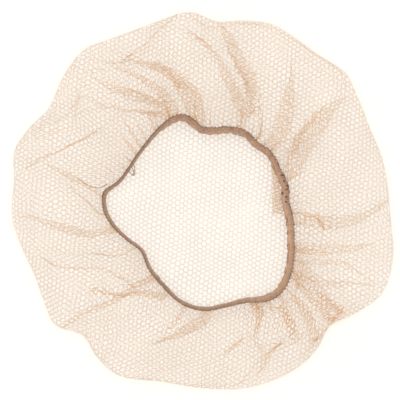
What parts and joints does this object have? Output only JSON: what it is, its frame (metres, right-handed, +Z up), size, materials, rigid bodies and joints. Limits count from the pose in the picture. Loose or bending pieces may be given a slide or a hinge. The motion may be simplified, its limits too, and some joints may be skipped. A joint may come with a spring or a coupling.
{
  "type": "disposable hairnet",
  "caption": "Bouffant hairnet of fine knitted net, lying opened out with its mouth up, gathered to a flat lapped elastic band.",
  "frame": {"origin": "on the ground, under the middle of the lying net's box", "axes": "+Z up out of the mouth; +X to the side where the elastic's ends lap; +Y towards the side where the mouth has its bump"},
  "size_m": [0.3042, 0.301, 0.0368],
  "materials": {
    "net": "fine tan nylon honeycomb net, slightly shiny threads",
    "elastic": "matt pinkish brown knitted elastic"
  },
  "bodies": {
    "root": {"net_crown": "net", "elastic_band": "elastic"}
  },
  "joints": []
}
